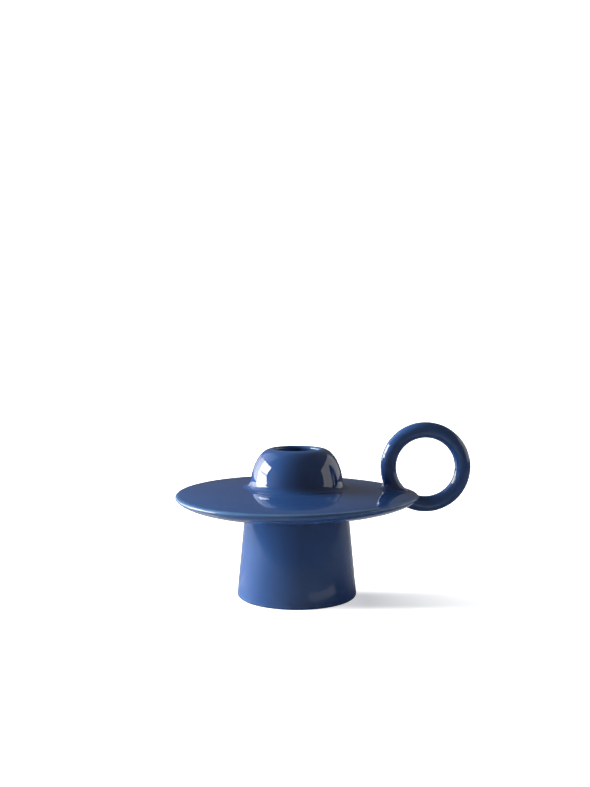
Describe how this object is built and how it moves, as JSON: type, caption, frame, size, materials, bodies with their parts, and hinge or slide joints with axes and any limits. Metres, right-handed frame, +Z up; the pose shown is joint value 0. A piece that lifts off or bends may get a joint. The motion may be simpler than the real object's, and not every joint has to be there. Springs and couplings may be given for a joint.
{
  "type": "chamberstick",
  "caption": "Low glazed ceramic chamberstick: a broad round saucer on a hollow flared foot, a small dome that holds one dinner candle, and an upright finger ring at the rim.",
  "frame": {"origin": "centre of the foot ring, on the surface that the chamberstick stands on", "axes": "+Z up along the axis of the foot, saucer, dome and candle; +X from that axis towards the finger ring, which stands in the XZ plane; -Y is the side that the picture shows"},
  "size_m": [0.1508, 0.124, 0.0891],
  "materials": {
    "cobalt_glaze": "glossy cobalt blue glaze over cast stoneware"
  },
  "bodies": {
    "root": {"pedestal_foot": "cobalt_glaze", "saucer": "cobalt_glaze", "candle_dome": "cobalt_glaze", "candle_cup": "cobalt_glaze", "finger_ring": "cobalt_glaze", "foot_slip": "cobalt_glaze", "dome_slip": "cobalt_glaze", "ring_top_slip": "cobalt_glaze", "ring_under_slip": "cobalt_glaze"}
  },
  "joints": []
}
